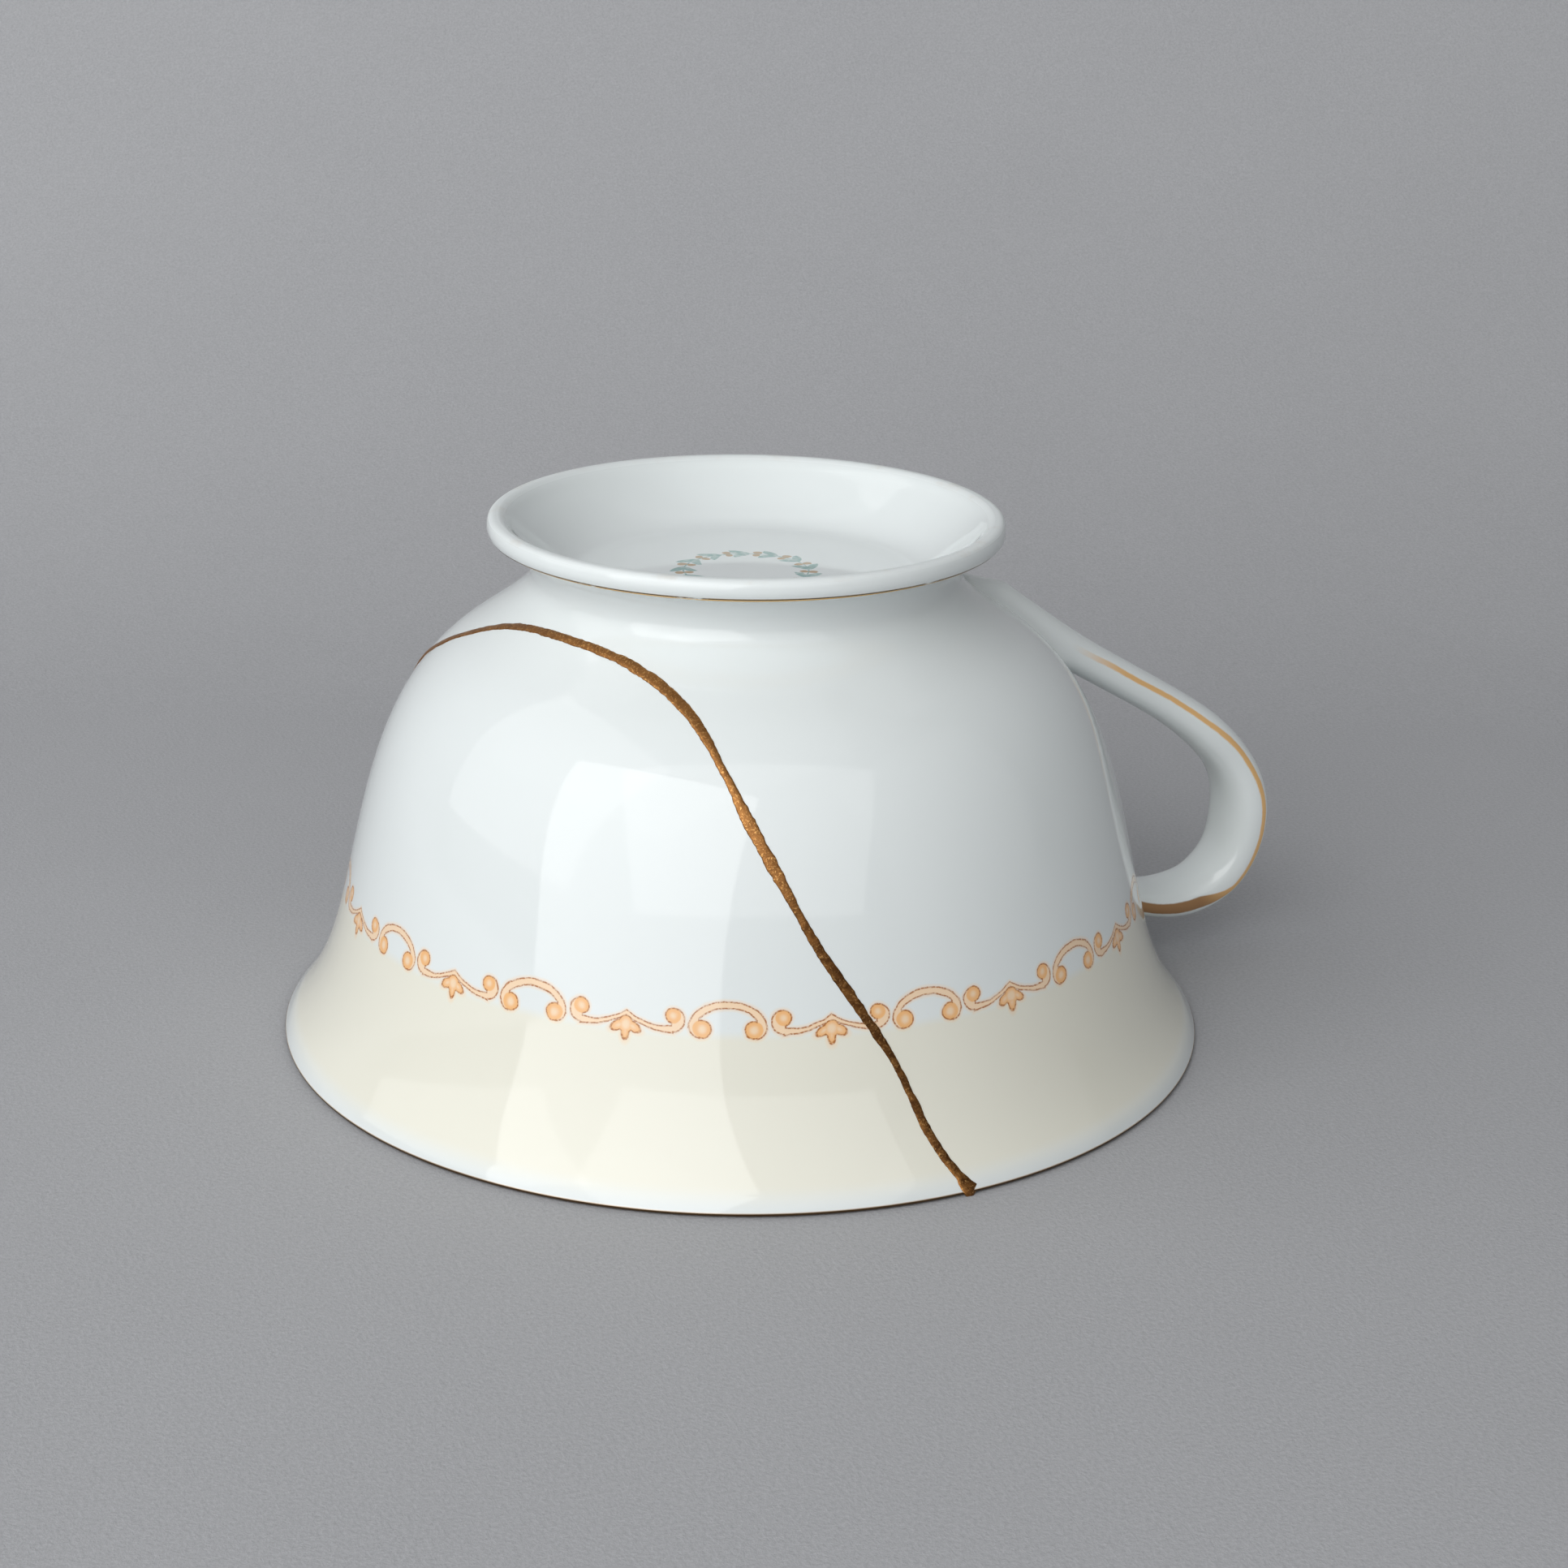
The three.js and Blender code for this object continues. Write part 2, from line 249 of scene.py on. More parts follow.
def cup_knots():
    """The cup's whole half section, from the middle of the bottom inside to the middle of the foot's hollow."""
    outside = outside_knots()
    tilt = math.tan(math.radians(RIM_LEAN))
    behind_rim = inward(outside[0].co, RIM_LEAN, RIM_WALL)
    lift = RIM_ROUND - behind_rim.y
    rim_inner = Knot((behind_rim.x - lift * tilt, RIM_ROUND), -climb(RIM_LEAN, 6))
    land_inner = Knot((RIM_LAND[0], 0))
    land_outer = Knot((RIM_LAND[1], 0))
    bend(rim_inner, land_inner, Vector((rim_inner.co.x + RIM_ROUND * tilt, 0)))
    bend(land_outer, outside[0], Vector((RIM_RADIUS, 0)))
    inside = [
        Knot((0, BOTTOM_HEIGHT), leave=(12, 0)),
        Knot(inward(Vector(SHOULDER), SHOULDER_LEAN, WALL),
             -climb(SHOULDER_LEAN, 7.5), -climb(SHOULDER_LEAN, 7.6)),
        Knot(inward(Vector(WAIST), WAIST_LEAN, WALL),
             -climb(WAIST_LEAN, 9.3), -climb(WAIST_LEAN, 6.8)),
        rim_inner,
    ]
    lip_outer = Knot((LIP_LAND[1], FOOT_HEIGHT))
    lip_inner = Knot((LIP_LAND[0], FOOT_HEIGHT))
    bend(outside[-1], lip_outer, Vector((LIP[0], FOOT_HEIGHT)))
    edge = Knot(LIP_INNER, leave=climb(135, 3.4))
    bend(lip_inner, edge, Vector((25.3, FOOT_HEIGHT - 0.1)))
    floor_edge = Knot(RECESS_FLOOR, (-2.4, 0), (-3, 0))
    floor = Knot((0, RECESS_FLOOR[1]), (-3, 0))
    return inside + [land_inner, land_outer] + outside + [lip_outer, lip_inner, edge, floor_edge, floor]


def draw(name, knots, steps):
    """A line through the knots in the plane of the handle, as a mesh of edges."""
    deselect()
    bpy.ops.curve.primitive_bezier_curve_add()
    line = bpy.context.object
    line.name = name
    spline = line.data.splines[0]
    spline.bezier_points.add(len(knots) - 2)
    for handle, knot in zip(spline.bezier_points, knots):
        handle.handle_left_type = handle.handle_right_type = "FREE"
        handle.co = place(*knot.co)
        handle.handle_left = place(*(knot.co - knot.arrive))
        handle.handle_right = place(*(knot.co + knot.leave))
    line.data.resolution_u = steps
    bpy.ops.object.convert(target="MESH")
    return bpy.context.object


def turn_cup():
    """The bowl and its foot, turned from the half section as on a potter's wheel."""
    cup = draw("cup_body", cup_knots(), PROFILE_STEPS)
    pick(cup)
    bpy.ops.object.mode_set(mode="EDIT")
    bpy.ops.mesh.select_all(action="SELECT")
    bpy.ops.mesh.remove_doubles(threshold=1e-6)
    bpy.ops.mesh.spin(steps=TURN_STEPS, angle=math.tau, center=(AXIS_X * MM, 0, 0), axis=(0, 0, 1))
    bpy.ops.mesh.select_all(action="SELECT")
    bpy.ops.mesh.remove_doubles(threshold=2e-6)
    bpy.ops.mesh.normals_make_consistent(inside=False)
    bpy.ops.object.mode_set(mode="OBJECT")
    return cup


def outside_line():
    """The outside of the wall from the rim to the neck as close points."""
    knots = outside_knots()[:4]
    points = []
    for a, b in zip(knots, knots[1:]):
        points += interpolate_bezier(a.co, a.co + a.leave, b.co - b.arrive, b.co, 60)
    return points


OUTSIDE = outside_line()


def wall_at(height):
    """The outside's radius and the way straight out of it (across, up) at a height."""
    height = min(max(height, OUTSIDE[0].y), OUTSIDE[-1].y - 1e-4)
    i = next(i for i, p in enumerate(OUTSIDE) if p.y > height)
    low, high = OUTSIDE[i - 1], OUTSIDE[i]
    share = (height - low.y) / max(high.y - low.y, 1e-9)
    along = (high - low).normalized()
    return low.x + (high.x - low.x) * share, Vector((along.y, -along.x))


def handle_line():
    """The handle's middle line as close points (radius, height), from its root to its end."""
    root_radius, root_out = wall_at(ROOT_HEIGHT)
    end_radius, end_out = wall_at(END_HEIGHT)
    root = Vector((root_radius, ROOT_HEIGHT)) - root_out * ROOT_SINK
    out = Vector(HANDLE_OUT)
    end = Vector((end_radius, END_HEIGHT)) - end_out * END_SINK
    upper = interpolate_bezier(root, root - climb(ROOT_LEAN, ROOT_PULL), out + Vector((0, OUT_PULL_UP)), out,
                               LINE_STEPS)
    lower = interpolate_bezier(out, out - Vector((0, OUT_PULL_DOWN)), end - climb(END_LEAN, END_PULL), end,
                               LINE_STEPS)
    return upper, lower[1:]


def taper(share):
    """The strap's thickness and width at a share of the way from root to end."""
    spot = share * (len(HANDLE_TAPER) - 1)
    i = min(int(spot), len(HANDLE_TAPER) - 2)
    blend = spot - i
    blend = blend * blend * (3 - 2 * blend)
    (t0, w0), (t1, w1) = HANDLE_TAPER[i], HANDLE_TAPER[i + 1]
    return HANDLE_THICKNESS * (t0 + (t1 - t0) * blend), HANDLE_WIDTH * (w0 + (w1 - w0) * blend)


def pull_strap():
    """A straight strap of clay: one oval section pulled out upwards, with its size changed at each step."""
    deselect()
    bpy.ops.mesh.primitive_circle_add(vertices=STRAP_SIDES, radius=1, fill_type="NGON")
    strap = bpy.context.object
    strap.name = "strap"
    power = 2 / HANDLE_SQUARENESS
    for corner in strap.data.vertices:
        corner.co.x = math.copysign(abs(corner.co.x) ** power, corner.co.x)
        corner.co.y = math.copysign(abs(corner.co.y) ** power, corner.co.y)
    thickness, width = taper(0)
    bpy.ops.object.mode_set(mode="EDIT")
    bpy.ops.mesh.select_all(action="SELECT")
    bpy.ops.transform.resize(value=(thickness / 2, width / 2, 1), center_override=(0, 0, 0))
    for step in range(1, STRAP_STEPS + 1):
        new_thickness, new_width = taper(step / STRAP_STEPS)
        bpy.ops.mesh.extrude_region_move(TRANSFORM_OT_translate={"value": (0, 0, 1)})
        bpy.ops.transform.resize(value=(new_thickness / thickness, new_width / width, 1),
                                 center_override=(0, 0, step))
        thickness, width = new_thickness, new_width
    bpy.ops.mesh.select_all(action="SELECT")
    bpy.ops.mesh.normals_make_consistent(inside=False)
    bpy.ops.object.mode_set(mode="OBJECT")
    apply(strap, "SUBSURF", levels=2, render_levels=2)
    return strap


def flare(spot, away):
    """Moves a point near the strap's end out along the wall, so that the strap widens where it meets it."""
    across = Vector((spot.x / MM - AXIS_X, spot.y / MM))
    wall_radius, out = wall_at(spot.z / MM)
    normal = Vector((across.x * out.x, across.y * out.x, out.y * across.length)) / across.length
    gap = (across.length - wall_radius) * out.x
    bend = FLARE * min(max(1 - gap / FILLET, 0), 1)
    return spot + (away - normal * away.dot(normal)) * FILLET * (1 - math.sqrt(1 - bend ** 2)) * MM


def bend_strap(strap):
    """Lays the straight strap along the handle's line, and notes each point's place round and along it."""
    upper, lower = handle_line()
    round_strap = strap.data.attributes.new("round_strap", "FLOAT", "POINT")
    along_strap = strap.data.attributes.new("along_strap", "FLOAT", "POINT")
    line = upper + lower
    half = len(upper) - 1
    for corner in strap.data.vertices:
        share = min(max(corner.co.z / STRAP_STEPS, 0), 1)
        spot = 2 * share * half
        i = min(int(spot), len(line) - 2)
        blend = spot - i
        middle = line[i].lerp(line[i + 1], blend)
        before, after = line[max(i - 1, 0)], line[min(i + 2, len(line) - 1)]
        along = (after - before).normalized()
        thickness, width = taper(share)
        round_strap.data[corner.index].value = math.degrees(
            math.atan2(abs(corner.co.y) / width, corner.co.x / thickness))
        along_strap.data[corner.index].value = STRAP_MARK + share
        ramp = min(share / SWELL_START, 1)
        swell = ROOT_SWELL * math.exp(-(share / SWELL_FADE) ** 2) * ramp * ramp * (3 - 2 * ramp)
        outward = corner.co.x + swell * max(corner.co.x, 0) / (thickness / 2)
        spread = middle + Vector((-along.y, along.x)) * outward
        away = Vector((-along.y, 0, along.x)) * (2 * corner.co.x / thickness)
        away.y = 2 * corner.co.y / width
        corner.co = flare(place(spread.x, spread.y) + Vector((0, corner.co.y * MM, 0)), away)


def crack_places(steps):
    """Places along the crack: turn and height, evenly spread over a smooth line through the path."""
    path = [Vector((turn, share * SHOULDER[1])) for turn, share in CRACK_PATH]
    path = [2 * path[0] - path[1]] + path + [2 * path[-1] - path[-2]]
    line = []
    for before, a, b, after in zip(path, path[1:], path[2:], path[3:]):
        tangent_a = (b - before) / 2
        tangent_b = (after - a) / 2
        piece = interpolate_bezier(a, a + tangent_a / 3, b - tangent_b / 3, b, 40)
        line += piece if not line else piece[1:]
    marks = [0]
    for a, b in zip(line, line[1:]):
        radius = wall_at(a.y)[0]
        marks.append(marks[-1] + math.hypot(math.radians(b.x - a.x) * radius, b.y - a.y))
    places, i = [], 0
    for step in range(steps + 1):
        mark = marks[-1] * step / steps
        while i < len(line) - 2 and marks[i + 1] < mark:
            i += 1
        share = (mark - marks[i]) / max(marks[i + 1] - marks[i], 1e-9)
        places.append(line[i].lerp(line[i + 1], min(share, 1)))
    return places, marks[-1]


def crack_frames(steps):
    """For each place along the crack: its point on the glaze, the ways out and across, and how far along."""
    places, length = crack_places(steps)
    points, outs = [], []
    for turn, height in places:
        radius, out = wall_at(height)
        angle = math.radians(turn)
        points.append(place(radius, height, turn))
        outs.append(Vector((out.x * math.cos(angle), out.x * math.sin(angle), out.y)))
    frames = []
    for i, (point, out) in enumerate(zip(points, outs)):
        along = points[min(i + 1, steps)] - points[max(i - 1, 0)]
        frames.append((point, out, out.cross(along).normalized(), length * i / steps))
    return frames


def wall_behind(height):
    """How thick the wall is square behind a height on its outside."""
    share = min(max(height / (WAIST[1] * 0.9), 0), 1)
    return RIM_WALL + (WALL - RIM_WALL) * share


def loft(name, rings):
    """A closed mesh over rings of points with as many corners each: a grid laid over them and joined up."""
    deselect()
    corners = len(rings[0])
    bpy.ops.mesh.primitive_grid_add(x_subdivisions=corners, y_subdivisions=len(rings) - 1, size=1)
    piece = bpy.context.object
    piece.name = name
    for corner in piece.data.vertices:
        row, column = divmod(corner.index, corners + 1)
        corner.co = rings[row][column % corners]
    bpy.ops.object.mode_set(mode="EDIT")
    bpy.ops.mesh.select_all(action="SELECT")
    bpy.ops.mesh.remove_doubles(threshold=1e-7)
    bpy.ops.mesh.select_all(action="DESELECT")
    bpy.ops.mesh.select_mode(type="EDGE")
    bpy.ops.mesh.select_non_manifold()
    bpy.ops.mesh.edge_face_add()
    bpy.ops.mesh.select_all(action="SELECT")
    bpy.ops.mesh.normals_make_consistent(inside=False)
    bpy.ops.object.mode_set(mode="OBJECT")
    return piece


def crack_blade():
    """The gap of the crack as a thin wall that follows its path through the bowl."""
    down = Vector((0, 0, -BLADE_REACH * MM))
    rings = []
    for point, out, across, _ in crack_frames(BLADE_STEPS):
        side = across * CRACK_GAP / 2 * MM
        outer, inner = point + out * BLADE_REACH * MM, point - out * (WALL + BLADE_DEPTH) * MM
        rings.append([outer + side, outer - side, inner - side, inner + side])
    first = [corner + down for corner in rings[0]]
    last = [corner + down for corner in rings[-1]]
    return loft("crack", [first] + rings + [last])


def waver(along, scale, seed):
    """An even wandering between -1 and 1 along the seam."""
    return noise.noise(Vector((along / scale, seed, 0.37)))


def seam_width(along, length):
    """Half the width of the brushed line, which flares again where it runs over the rim at the back."""
    i = next(i for i, (place_along, _) in enumerate(SEAM_WIDTHS) if place_along > along)
    (start, before), (end, after) = SEAM_WIDTHS[i - 1], SEAM_WIDTHS[i]
    share = (along - start) / (end - start)
    share = share * share * (3 - 2 * share)
    return (before + (after - before) * share) * SEAM_SPREAD + 0.4 * math.exp(-((length - along) / 1.3) ** 2)


def lay_seam():
    """The lacquer and gold in the crack: a bead on the glaze, a web through the wall and a bead inside."""
    frames = crack_frames(SEAM_STEPS)
    length = frames[-1][3]
    web = CRACK_GAP * WEB_SHARE
    rings = []
    for point, out, across, along in frames:
        half = seam_width(along, length)
        drift = STRAY_MIDDLE * waver(along, 2.5, 3)
        left = half * (1 + STRAY_LONG * waver(along, 1.1, 1) + STRAY_SHORT * waver(along, 0.4, 2)) + drift
        right = half * (1 + STRAY_LONG * waver(along, 1.3, 4) + STRAY_SHORT * waver(along, 0.36, 5)) - drift
        proud = SEAM_PROUD * min(1, half / 0.4) * (1 + 0.15 * waver(along, 1.7, 6))
        depth = wall_behind(point.z / MM)
        ring = []
        for k in range(BEAD_SIDES + 1):
            angle = math.pi * k / BEAD_SIDES
            side = math.cos(angle)
            reach = (right if side > 0 else left) * side
            rise = proud * math.sin(angle) ** 0.7 - BEAD_SINK
            ring.append(point + (across * reach + out * rise) * MM)
        ring.append(point + (-across * web - out * WEB_INSET) * MM)
        ring.append(point + (-across * web - out * (depth - WEB_INSET)) * MM)
        for k in range(INNER_SIDES + 1):
            angle = math.pi * k / INNER_SIDES
            reach = -half * INNER_SHARE * math.cos(angle)
            rise = depth + INNER_PROUD * math.sin(angle) - INNER_SINK
            ring.append(point + (across * reach - out * rise) * MM)
        ring.append(point + (across * web - out * (depth - WEB_INSET)) * MM)
        ring.append(point + (across * web - out * WEB_INSET) * MM)
        for corner in ring:
            corner.z = max(corner.z, BOX_GAP * MM)
            corner.y = max(corner.y, -(RIM_RADIUS - BOX_GAP) * MM)
        rings.append(ring)
    return loft("lacquer_seam", rings)


def build_cup():
    """Turns the bowl, pulls and joins the handle, and breaks the shard out along the crack."""
    cup = turn_cup()
    strap = pull_strap()
    bend_strap(strap)
    blade = crack_blade()
    apply(cup, "BOOLEAN", operation="DIFFERENCE", solver="EXACT", object=blade)
    remove(blade)
    pick(cup)
    bpy.ops.mesh.separate(type="LOOSE")
    pieces = sorted(bpy.context.selected_objects, key=lambda p: -len(p.data.vertices))
    body, shard = pieces[:2]
    body.name, shard.name = "porcelain_body", "porcelain_shard"
    for piece in (body, shard):
        outside = piece.data.attributes.new("outside", "FLOAT", "POINT")
        for corner in piece.data.vertices:
            radius = math.hypot(corner.co.x / MM - AXIS_X, corner.co.y / MM)
            outside.data[corner.index].value = float(radius > wall_at(corner.co.z / MM)[0] - 0.6)
    pick(body)
    strap.select_set(True)
    bpy.ops.object.join()
    for piece in (body, shard):
        pick(piece)
        bpy.ops.object.shade_smooth_by_angle(angle=math.radians(50))
    return body, shard


# Stage

def set_camera():
    spin = Matrix.Rotation(math.radians(PHOTO_TURN), 4, "Z")
    bpy.ops.object.camera_add()
    camera = bpy.context.object
    spot = spin @ Vector((0, -CAMERA_DISTANCE, CAMERA_HEIGHT)) + Vector((AXIS_X, 0, 0))
    look = (Matrix.Rotation(math.radians(PHOTO_TURN - CAMERA_YAW), 4, "Z")
            @ Matrix.Rotation(math.radians(90 - CAMERA_PITCH), 4, "X")
            @ Matrix.Rotation(math.radians(CAMERA_ROLL), 4, "Z"))
    camera.matrix_world = Matrix.Translation(spot * MM) @ look
    camera.data.lens = LENS
    camera.data.sensor_width = 36
    camera.data.clip_start = 0.01
    bpy.context.scene.camera = camera


def lay_floor():
    """A wide sheet of paper that lies under the cup and curves up behind it."""
    deselect()
    bpy.ops.mesh.primitive_plane_add(size=FLOOR_SIZE, location=(0, FOLD_PLACE - FLOOR_SIZE / 2, 0))
    floor = bpy.context.object
    floor.name = "paper_floor"
    bpy.ops.object.transform_apply(location=True)
    bpy.ops.object.mode_set(mode="EDIT")
    bpy.ops.mesh.select_mode(type="VERT")
    bpy.ops.mesh.select_all(action="DESELECT")
    bpy.ops.object.mode_set(mode="OBJECT")
    for corner in floor.data.vertices:
        corner.select = corner.co.y > FOLD_PLACE - 0.01
    bpy.ops.object.mode_set(mode="EDIT")
    bpy.ops.mesh.extrude_region_move(TRANSFORM_OT_translate={"value": (0, 0, FLOOR_RISE)})
    bpy.ops.mesh.select_all(action="DESELECT")
    bpy.ops.object.mode_set(mode="OBJECT")
    for corner in floor.data.vertices:
        corner.select = corner.co.y > FOLD_PLACE - 0.01 and corner.co.z < 0.01
    bpy.ops.object.mode_set(mode="EDIT")
    bpy.ops.mesh.select_mode(type="EDGE")
    bpy.ops.mesh.bevel(offset=FOLD_ROUND, segments=40, affect="EDGES")
    bpy.ops.object.mode_set(mode="OBJECT")
    spin = Matrix.Rotation(math.radians(PHOTO_TURN), 4, "Z")
    floor.data.transform(Matrix.Translation((AXIS_X * MM, 0, 0)) @ spin)
    bpy.ops.object.shade_smooth()
    return floor


def add_light(name, turn, rise, distance, size, glow):
    """A soft box that faces the cup. Its turn is seen in the photograph: -90 is at the camera, 180 is left."""
    spin = math.radians(turn + PHOTO_TURN)
    lift = math.radians(rise)
    way = Vector((math.cos(spin) * math.cos(lift), math.sin(spin) * math.cos(lift), math.sin(lift)))
    deselect()
    bpy.ops.object.light_add(type="AREA", location=Vector((AXIS_X * MM, 0, 0.03)) + way * distance)
    light = bpy.context.object
    light.name = name
    light.rotation_euler = way.to_track_quat("Z", "Y").to_euler()
    light.data.shape = "RECTANGLE"
    light.data.size, light.data.size_y = size
    light.data.energy = glow * math.pi * size[0] * size[1]


def set_lights():
    add_light("front_box", -122, 25, 1.2, (1.3, 1.2), 2.0)
    add_light("high_front", -88, 36, 1.3, (1.8, 1.3), 0.94)
    add_light("near_left", -165, 35, 0.7, (0.7, 0.7), 0.78)
    add_light("top_left", -150, 68, 1.1, (1.7, 1.7), 0.2)
    add_light("right_card", -20, 25, 1.5, (1.5, 1.5), 0.2)
    add_light("back_top", 90, 60, 1.0, (1.4, 0.8), 0.25)
    world = bpy.data.worlds.new("studio")
    bpy.context.scene.world = world
    world.use_nodes = True
    tree = world.node_tree
    background = tree.nodes["Background"]
    background.inputs["Color"].default_value = (0.98, 0.99, 1, 1)
    # Past the paper's near edge the room is seen in the paper's own grey, and lights the cup no more for it.
    seen = tree.nodes.new("ShaderNodeLightPath")
    glow = tree.nodes.new("ShaderNodeMath")
    glow.operation = "MULTIPLY_ADD"
    glow.inputs[1].default_value = ROOM_SEEN
    glow.inputs[2].default_value = ROOM_LIGHT
    tree.links.new(seen.outputs["Is Camera Ray"], glow.inputs[0])
    tree.links.new(glow.outputs["Value"], background.inputs["Strength"])


# Materials. Shared effects are node groups that give masks and small numbers; colours are set in each material.

class Value:
    """A number on a wire of a node tree. Sums, products and the like add the nodes that reckon them."""

    def __init__(self, tree, socket):
        self.tree, self.socket = tree, socket

    def __add__(self, other):
        return reckon(self.tree, "ADD", self, other)

    def __sub__(self, other):
        return reckon(self.tree, "SUBTRACT", self, other)

    def __rsub__(self, other):
        return reckon(self.tree, "SUBTRACT", other, self)

    def __mul__(self, other):
        return reckon(self.tree, "MULTIPLY", self, other)

    def __truediv__(self, other):
        return reckon(self.tree, "DIVIDE", self, other)

    def __pow__(self, other):
        return reckon(self.tree, "POWER", self, other)

    def __mod__(self, other):
        return reckon(self.tree, "FLOORED_MODULO", self, other)

    def __abs__(self):
        return reckon(self.tree, "ABSOLUTE", self)

    def least(self, other):
        return reckon(self.tree, "MINIMUM", self, other)

    def most(self, other):
        return reckon(self.tree, "MAXIMUM", self, other)

    def rise(self, start, end):
        """Goes softly from 0 to 1 between two values."""
        node = self.tree.nodes.new("ShaderNodeMapRange")
        node.interpolation_type = "SMOOTHSTEP"
        wire(self.tree, self, node.inputs["Value"])
        node.inputs["From Min"].default_value = start
        node.inputs["From Max"].default_value = end
        return Value(self.tree, node.outputs["Result"])

    def fall(self, start, end):
        """Goes softly from 1 to 0 between two values."""
        return 1 - self.rise(start, end)


def wire(tree, value, socket):
    if isinstance(value, Value):
        tree.links.new(value.socket, socket)
    else:
        socket.default_value = value


def reckon(tree, operation, *values):
    node = tree.nodes.new("ShaderNodeMath")
    node.operation = operation
    for value, socket in zip(values, node.inputs):
        wire(tree, value, socket)
    return Value(tree, node.outputs[0])


def distance(across, up):
    """The length of an arrow with the given sides."""
    return reckon(across.tree, "SQRT", across * across + up * up)


def read_noise(tree, place_wire, scale, detail=2.0, roughness=0.5):
    """Cloudy noise between 0 and 1 at a scale per metre."""
    node = tree.nodes.new("ShaderNodeTexNoise")
    node.inputs["Scale"].default_value = scale
    node.inputs["Detail"].default_value = detail
    node.inputs["Roughness"].default_value = roughness
    tree.links.new(place_wire, node.inputs["Vector"])
    return Value(tree, node.outputs["Fac"])


def object_place(tree):
    return tree.nodes.new("ShaderNodeTexCoord").outputs["Object"]


def new_group(name, takes, gives):
    """A named node group with named inputs and outputs, still empty."""
    tree = bpy.data.node_groups.new(name, "ShaderNodeTree")
    for label, start in takes.items():
        tree.interface.new_socket(label, in_out="INPUT", socket_type="NodeSocketFloat").default_value = start
    for label in gives:
        tree.interface.new_socket(label, in_out="OUTPUT", socket_type="NodeSocketFloat")
    inlet = tree.nodes.new("NodeGroupInput")
    return tree, [Value(tree, inlet.outputs[label]) for label in takes]


def give(tree, **results):
    outlet = tree.nodes.new("NodeGroupOutput")
    for label, value in results.items():
        wire(tree, value, outlet.inputs[label])


def use(tree, group, **values):
    """Puts a group in a material and returns its outputs by name."""
    node = tree.nodes.new("ShaderNodeGroup")
    node.node_tree = group
    for label, value in values.items():
        wire(tree, value, node.inputs[label])
    return {socket.name: Value(tree, socket) for socket in node.outputs}


def cup_place_group():
    """Where a point is on the cup: turn in degrees from the handle, radius and height in millimetres."""
    tree, (axis,) = new_group("cup_place", {"Axis": AXIS_X * MM}, ("Turn", "Radius", "Height"))
    split = tree.nodes.new("ShaderNodeSeparateXYZ")
    tree.links.new(object_place(tree), split.inputs[0])
    across = Value(tree, split.outputs["X"]) - axis
    side = Value(tree, split.outputs["Y"])
    turn = reckon(tree, "DEGREES", reckon(tree, "ARCTAN2", side, across))
    give(tree, Turn=turn, Radius=distance(across, side) / MM, Height=Value(tree, split.outputs["Z"]) / MM)
    return tree


